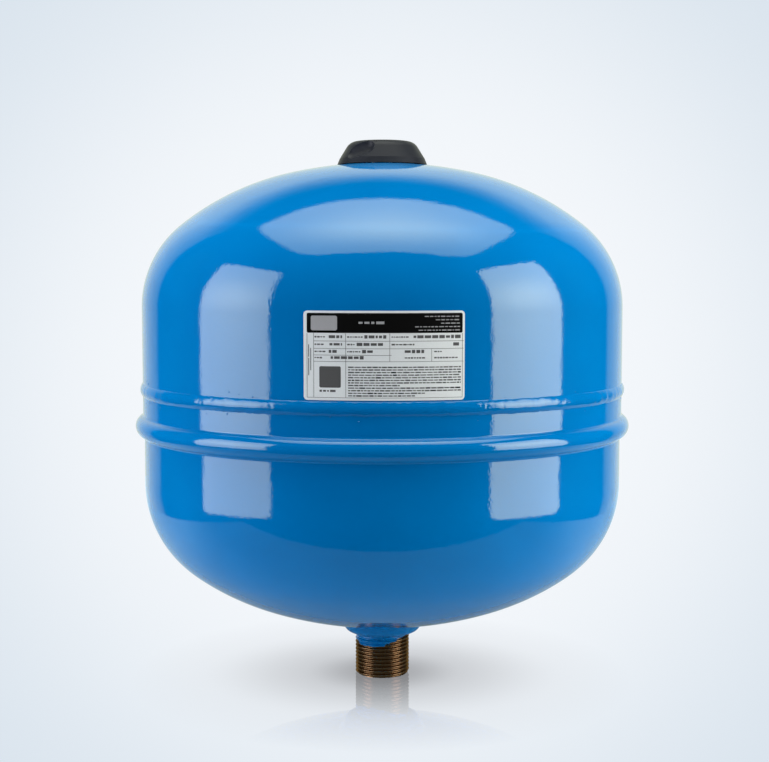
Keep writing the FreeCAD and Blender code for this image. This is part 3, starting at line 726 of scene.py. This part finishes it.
# Label
def label():
    """Film label, with its print as plain fields and dashes and no lettering."""
    half = LABEL_WIDTH / SHELL_RADIUS / 2
    left, right = LABEL_TURN - half, LABEL_TURN + half
    shape = patch(left, right, LABEL_LOW, LABEL_LOW + LABEL_HEIGHT, LABEL_INNER, LABEL_OUTER, LABEL_CORNER)
    piece = mesh_piece("label_sheet", *shape, label_film, "tank", 30.0)
    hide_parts("data_label")

    def mark(across, down, width, height, corner=0.0, rise=PRINT_RISE):
        """A printed field, in millimetres from the label's top left corner."""
        start = left + across * MM / SHELL_RADIUS
        top = LABEL_LOW + LABEL_HEIGHT - down * MM
        return patch(
            start, start + width * MM / SHELL_RADIUS, top - height * MM, top,
            LABEL_OUTER - PRINT_RISE, LABEL_OUTER + rise, corner * MM,
        )

    def bars(draw, across, down, width, height, longest, rise=PRINT_RISE, gap=0.4):
        """A line of print as a row of short bars."""
        marks, start = [], across
        while start < across + width - 0.5:
            length = min(draw.uniform(longest * 0.3, longest), across + width - start)
            high = height * draw.uniform(0.8, 1.2)
            marks.append(mark(start, down + (height - high) / 2, length, high, rise=rise))
            start += length + gap
        return marks

    draw = random.Random(4)
    over = 2 * PRINT_RISE
    dark = [mark(1.8, 1.2, 81.9, 10.3, 0.8)]
    pale = [mark(4.0, 2.6, 14.0, 7.6, 1.0, over)]
    pale += bars(draw, 29.2, 5.6, 14.4, 1.2, 4.4, over, 1.0)
    grey = []
    for line, start in enumerate((63.4, 69.2, 72.0, 58.4, 60.2)):
        pale += bars(draw, start, 2.7 + line * 1.78, 82.6 - start, 0.5, 2.6, over, 0.6)
    rule = RULE_WIDTH
    for down, width in ((15.6, 78.6), (19.5, 78.6), (22.9, 40.6), (26.2, 78.6)):
        grey.append(mark(5.6, down, width, rule))
    uprights = ((5.4, 11.6, 33.4), (22.4, 11.6, 33.4), (45.2, 11.6, 14.8), (67.0, 19.5, 6.9))
    for across, down, height in uprights:
        grey.append(mark(across, down, rule, height))
    grey += [mark(1.8, 11.6, rule, 33.4), mark(1.8, 45.0, 81.9, rule), mark(83.5, 11.6, rule, 33.4)]
    rows = (
        (12.8, ((6.0, 6.4), (23.3, 8.0), (46.2, 8.8)), ((13.6, 7.0), (32.2, 11.6), (57.6, 25.0))),
        (16.7, ((6.0, 5.6), (23.3, 3.8), (46.2, 11.8)), ((14.0, 6.6), (28.2, 14.4), (78.6, 3.6))),
        (20.4, ((6.0, 6.2), (23.3, 6.8), (68.4, 4.0)), ((13.6, 4.2), (31.0, 5.8), (53.0, 11.2))),
        (23.6, ((6.0, 4.4), (53.0, 10.6), (68.4, 12.6)), ((14.6, 18.2),)),
    )
    for down, small, bold in rows:
        for across, width in small:
            grey += bars(draw, across, down + 0.4, width, 0.7, 1.8)
        for across, width in bold:
            grey += bars(draw, across, down - 0.1, width, 1.5, 3.4, gap=0.6)
    grey.append(mark(8.5, 28.8, 11.4, 11.1, 0.8))
    grey += bars(draw, 8.6, 41.1, 9.6, 1.0, 3.0, gap=0.6)
    ends = (82.8, 82.8, 82.8, 82.8, 82.8, 82.8, 82.8, 50.4, 82.8, 82.8, 63.6, 58.6)
    for line, end in enumerate(ends):
        fine = bars(draw, 23.7, 28.9 + line * 1.35, end - 23.7, 0.62, 3.4)
        for word in fine:
            (dark if draw.random() < (0.4 if line > 7 else 0.06) else grey).append(word)
    for across, down, height in ((2.6, 17.6, 6.4), (2.6, 24.6, 9.0), (3.7, 19.4, 11.6)):
        grey.append(mark(across, down, 0.4, height))
    for name, marks, material in (("dark", dark, ink), ("grey", grey, grey_ink), ("pale", pale, pale_ink)):
        piece = mesh_piece(f"label_print_{name}", *merged(marks), material, "tank", 30.0)


# Pieces that keep their modelled shape
def dress_nodes():
    """Materials of the CAD nodes that the scene shows as they are."""
    steel = plain_metal("rolled_steel", (0.5, 0.5, 0.51), 0.34)
    brass = plain_metal("turned_brass", (0.62, 0.42, 0.17), 0.24, 1400.0)
    rubber = moulded("black_rubber", (0.012, 0.012, 0.012), 0.6)
    liner = moulded("natural_plastic", (0.72, 0.71, 0.64), 0.45, 1.08)
    white = moulded("white_plastic", (0.78, 0.78, 0.77), 0.4, 1.05)
    finishes = {
        "water_liner": liner, "diaphragm": rubber, "clench_ring": steel, "liner_gasket": rubber,
        "inlet_grid": liner, "valve_stem": brass, "valve_gasket": rubber, "valve_washer": steel,
        "valve_nut": brass, "core_plug": brass, "core_barrel": brass, "core_seal": white,
        "core_pin": brass, "poppet_seal": rubber, "dust_cap": black,
        "dust_cap_gasket": rubber, "protective_cap": black,
    }
    for node, material in finishes.items():
        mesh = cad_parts[node].data
        mesh.materials.clear()
        mesh.materials.append(material)


# Studio
def look_at(thing, target):
    way = Vector(target) - thing.location
    thing.rotation_euler = way.to_track_quat("-Z", "Y").to_euler()


def softbox(
    name, place, target, size, peak, color=(1.0, 1.0, 1.0), falloff=None, even=0.0, corner=8.0, seen=True
):
    """A rectangular light. Its face fades out from the middle, and softly at its rounded edge.

    The radiance in the middle is peak, falloff holds the two distances over which it fades, and
    even is the share of it that doesn't fade.
    """
    data = bpy.data.lights.new(name, "AREA")
    data.shape = "RECTANGLE"
    data.size, data.size_y = size
    data.energy = peak * math.pi * size[0] * size[1]
    data.color = color
    light = bpy.data.objects.new(name, data)
    light.location = place
    light.visible_camera = False
    light.visible_glossy = seen
    bpy.context.scene.collection.objects.link(light)
    look_at(light, target)
    if falloff:
        data.use_nodes = True
        graph = Graph(data.node_tree)
        face = graph.add("NewGeometry").outputs["Parametric"]
        centred = graph.vector("MULTIPLY_ADD", face, (2.0, 2.0, 0.0), (-1.0, -1.0, 0.0))
        axes = graph.axes(centred.outputs[0])
        fade, reach = [], []
        for axis, span, distance in zip((axes["X"], axes["Y"]), size, falloff):
            along = graph.math("ABSOLUTE", axis)
            reach.append(graph.math("POWER", along, corner))
            fade.append(graph.math("POWER", graph.math("MULTIPLY", along, span / 2 / distance), 2.0))
        rim = graph.math("POWER", graph.math("ADD", *reach), 1 / corner)
        edge = graph.spread(rim, 0.94, 1.0, 1.0, 0.0, True)
        spot = graph.math("EXPONENT", graph.math("MULTIPLY", graph.math("ADD", *fade), -1.0))
        glow = graph.spread(spot, 0.0, 1.0, even, 1.0)
        strength = data.node_tree.nodes["Emission"].inputs["Strength"]
        graph.link(graph.math("MULTIPLY", edge, glow), strength)


def studio():
    """Two side softboxes and one overhead, and lights that leave no reflection."""
    sides = (
        (-1, "left", 68.7, 0.46, 1.33, 5.0, (1.0, 1.02, 1.15)),
        (1, "right", 67.3, 0.5, 1.44, 6.4, (1.0, 1.0, 1.0)),
    )

    def beside(side, distance, turn, height):
        return side * distance * math.sin(turn), -distance * math.cos(turn), height

    for side, name, angle, level, height, peak, color in sides:
        place = beside(side, SIDE_DISTANCE, math.radians(angle), level)
        target = (0, 0, level)
        size = (0.92, height)
        softbox(f"{name}_softbox", place, target, size, peak, color, (0.45, 0.32), 0.6, 16.0)
        softbox(f"{name}_booster", place, target, (0.86, 1.25), 0.5, seen=False)
        place = beside(side, FILL_DISTANCE, FILL_TURN, 0.36)
        softbox(f"{name}_fill", place, (0, 0, 0.25), (1.0, 1.2), 2.1, (1.0, 1.0, 0.75), seen=False)
    color = (0.96, 0.99, 0.9)
    softbox("top_softbox", TOP_PLACE, TOP_TARGET, (1.84, 1.43), 4.6, color, (0.6, 0.42), 0.35, 5.0)
    color = (1.0, 1.15, 0.95)
    softbox("top_booster", TOP_PLACE, TOP_TARGET, (1.62, 1.43), 2.0, color, seen=False)


def backdrop():
    """Pale world: a soft vignette behind the tank, and what the coat reflects and gathers."""
    world = bpy.data.worlds.new("studio")
    world.use_nodes = True
    bpy.context.scene.world = world
    graph = Graph(world.node_tree)
    graph.tree.nodes.clear()
    path = graph.add("LightPath")
    way = graph.add("TexCoord").outputs["Generated"]
    axes = graph.axes(way)

    def glow(color, strength=1.0):
        node = graph.add("Background")
        graph.feed((*color, 1.0) if isinstance(color, tuple) else color, node.inputs["Color"])
        graph.feed(strength, node.inputs["Strength"])
        return node.outputs[0]

    # Painted light: the backdrop the camera sees is brighter in a soft disc behind the tank and darker
    # towards the edges.
    sight = (0.0, math.cos(VIEW_TILT), -math.sin(VIEW_TILT))
    apart = graph.math("ARCCOSINE", graph.vector("DOT_PRODUCT", way, sight).outputs["Value"])
    share = graph.spread(apart, math.radians(8.0), math.radians(22.0), soft=True)
    seen = glow(graph.blend(share, (0.9, 0.93, 0.965), (0.7, 0.775, 0.85)))

    level = graph.math("SQRT", graph.math("SUBTRACT", 1.0, graph.math("POWER", axes["Z"], 2.0)))
    behind = graph.math("DIVIDE", axes["Y"], graph.math("MAXIMUM", level, 0.001))
    wide = graph.spread(behind, 0.63, 0.68, soft=True)
    rise = graph.spread(behind, 0.69, 0.9, 0.36, 0.86)
    low = graph.spread(axes["Z"], 0.5, 0.72, 1.0, 0.0, True)
    mirrored = glow((0.95, 1.0, 0.78), graph.math("MULTIPLY", graph.math("MULTIPLY", wide, rise), low))

    ambient = glow((0.8, 0.85, 1.0), graph.spread(axes["Z"], -0.02, 0.02, 0.0, 0.1))
    other = graph.mixed(path.outputs["Is Glossy Ray"], ambient, mirrored)
    surface = graph.mixed(path.outputs["Is Camera Ray"], other, seen)
    graph.link(surface, graph.add("OutputWorld").inputs["Surface"])


def floor():
    """A pale floor that melts into the backdrop, with a painted soft shadow and a mirror image at the
    foot, and a painted glow where reflections see it.
    """
    spokes = 96
    rings = [FLOOR_REACH * index / 14 for index in range(1, 15)]
    vertices = [(0.0, 0.0, 0.0)]
    for ring in rings:
        for spoke in range(spokes):
            turn = TURN * spoke / spokes
            vertices.append((ring * math.cos(turn), ring * math.sin(turn), 0.0))
    mesh = bpy.data.meshes.new("floor")
    mesh.from_pydata(vertices, [], fan(spokes, len(rings)))
    ground = bpy.data.objects.new("floor", mesh)
    bpy.context.scene.collection.objects.link(ground)
    nodes = Nodes("floor", (0.8, 0.8, 0.8), 0.6)
    mesh.materials.append(nodes.material)
    path = nodes.add("LightPath")
    place = nodes.place()
    axes = nodes.axes(place)

    def reach_of(scale):
        return nodes.vector("LENGTH", nodes.vector("MULTIPLY", place, scale).outputs[0]).outputs["Value"]

    def glow(strength):
        node = nodes.add("Emission")
        node.inputs["Color"].default_value = (0.78, 0.96, 0.97, 1.0)
        nodes.link(strength, node.inputs["Strength"])
        return node.outputs[0]

    clear = nodes.add("BsdfTransparent").outputs[0]
    # Painted shadow: a near-black emission (dark) is mixed into what the camera sees. A wide soft one lies
    # round the foot, and a tighter contact shadow at it.
    dark = nodes.add("Emission")
    dark.inputs["Color"].default_value = (0.05, 0.045, 0.05, 1.0)
    shadow = nodes.spread(reach_of((1 / 0.115, 1 / 0.1, 0.0)), 0.1, 1.0, 0.45, 0.0, True)
    mirror = nodes.add("BsdfGlossy")
    mirror.inputs["Color"].default_value = (0.765, 0.745, 1.0, 1.0)
    mirror.inputs["Roughness"].default_value = 0.02
    image = nodes.spread(reach_of((1.0, 1.0, 0.0)), 0.05, 0.155, 0.42, 0.0)
    seen = nodes.mixed(image, nodes.mixed(shadow, clear, dark.outputs[0]), mirror.outputs[0])
    painted_contact_shadow = nodes.spread(reach_of((1 / 0.05, 1 / 0.05, 0.0)), 0.2, 1.0, 0.3, 0.0, True)
    seen = nodes.mixed(painted_contact_shadow, seen, dark.outputs[0])
    seen = nodes.mixed(nodes.add("NewGeometry").outputs["Backfacing"], seen, clear)

    sideways = nodes.math("LESS_THAN", nodes.math("ABSOLUTE", axes["X"]), 0.41)
    sheet = nodes.math("MULTIPLY", sideways, nodes.math("GREATER_THAN", axes["Y"], -0.25))
    # Painted light: in reflections the floor glows instead of being lit. It is dimmer near the tank and in
    # front, as a painted shadow, and brighter towards the back.
    around = nodes.spread(reach_of((1.0, 1.0, 0.0)), 0.05, 0.26, 0.0, 0.42)
    beside = nodes.spread(axes["Y"], -0.15, 0.03, 0.0, 1.0, True)
    beyond = nodes.spread(axes["Y"], 0.3, 0.62, 0.25, 0.58)
    painted_floor_glow = nodes.math("ADD", nodes.math("MULTIPLY", around, beside), beyond)
    reflected = nodes.mixed(sheet, clear, glow(painted_floor_glow))
    gathered = nodes.mixed(sheet, clear, nodes.shader.outputs[0])

    other = nodes.mixed(path.outputs["Is Glossy Ray"], gathered, reflected)
    surface = nodes.mixed(path.outputs["Is Camera Ray"], other, seen)
    nodes.link(surface, nodes.tree.nodes["Material Output"].inputs["Surface"])


def camera():
    """The photograph's view: about 0.91 m in front, above the middle, tilted down by 4.6 degrees."""
    data = bpy.data.cameras.new("camera")
    data.sensor_width = 36.0
    data.lens = VIEW_FOCUS / PICTURE_WIDTH * data.sensor_width
    eye = bpy.data.objects.new("camera", data)
    eye.location = (VIEW_SIDEWAYS, -VIEW_DISTANCE, VIEW_HEIGHT)
    eye.rotation_euler = (math.radians(90) - VIEW_TILT, 0.0, 0.0)
    bpy.context.scene.collection.objects.link(eye)
    bpy.context.scene.camera = eye


bpy.context.scene.view_settings.view_transform = "Standard"
camera()
backdrop()
floor()
studio()
upper_shell()
lower_shell()
girth_weld()
weld_spatter()
nipple()
nipple_weld()
core_spring()
label()
dress_nodes()
